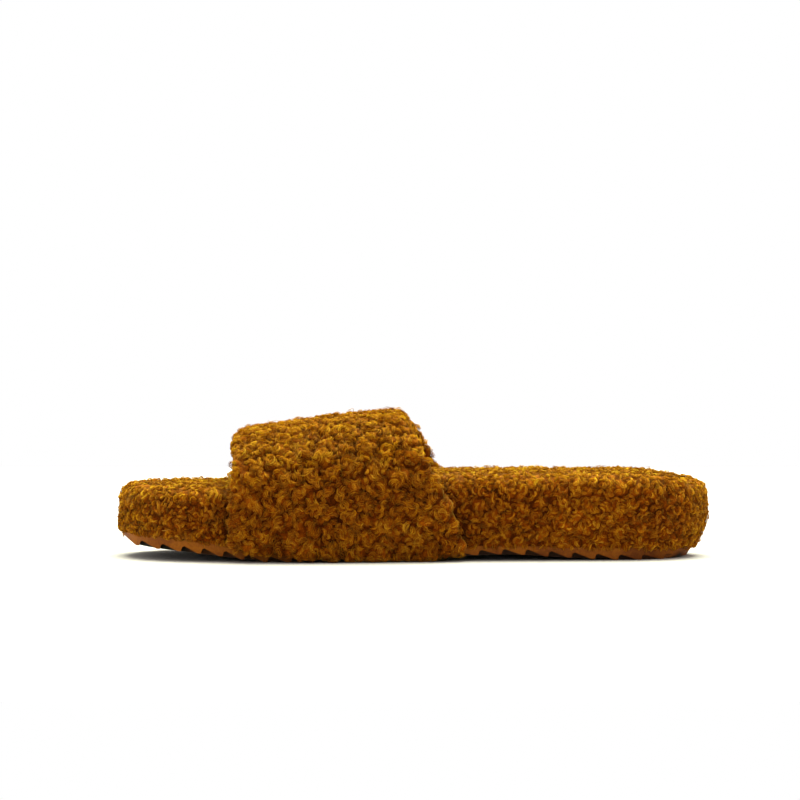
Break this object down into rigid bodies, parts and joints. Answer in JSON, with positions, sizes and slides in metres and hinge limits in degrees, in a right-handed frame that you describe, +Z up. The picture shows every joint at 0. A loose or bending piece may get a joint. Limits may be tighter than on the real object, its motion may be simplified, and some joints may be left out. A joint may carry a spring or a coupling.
{
  "type": "slide slipper",
  "caption": "Fleece-covered slide slipper for the left foot: thick wrapped platform, soft footbed, one wide padded strap over the instep and a ripple-tread rubber outsole.",
  "frame": {"origin": "on the ground, under the middle of the slipper's bounding box", "axes": "+Z up, -Y towards the toe, +Y towards the heel, +X towards the outer (little toe) side of a left foot"},
  "size_m": [0.112, 0.2721, 0.0674],
  "materials": {
    "outsole_rubber": "matt moulded tan rubber",
    "filler_felt": "grey-beige needled felt",
    "sewing_thread": "twisted polyester thread",
    "eva_foam": "fine closed-cell foam",
    "insole_board": "pressed fibre board",
    "footbed_foam": "soft open-cell foam",
    "sock_fleece": "curly fleece, ochre",
    "wrap_fleece": "curly fleece, ochre",
    "strap_fleece": "long curly fleece, ochre",
    "strap_foam": "soft open-cell foam, brown",
    "lining_fleece": "short curly fleece, ochre",
    "stay_tape": "plain woven tape, brown"
  },
  "bodies": {
    "root": {"outsole": "outsole_rubber", "bottom_filler": "filler_felt", "lasting_thread": "sewing_thread", "platform_core": "eva_foam", "insole_board": "insole_board", "footbed_pad": "footbed_foam", "sock_cover": "sock_fleece", "sock_seam_thread": "sewing_thread", "platform_wrap": "wrap_fleece", "wrap_closing_thread": "sewing_thread", "vamp_outer": "strap_fleece", "vamp_foam": "strap_foam", "vamp_lining": "lining_fleece", "vamp_front_stay_tape": "stay_tape", "vamp_rear_stay_tape": "stay_tape", "vamp_front_edge_thread": "sewing_thread", "vamp_rear_edge_thread": "sewing_thread"}
  },
  "joints": []
}
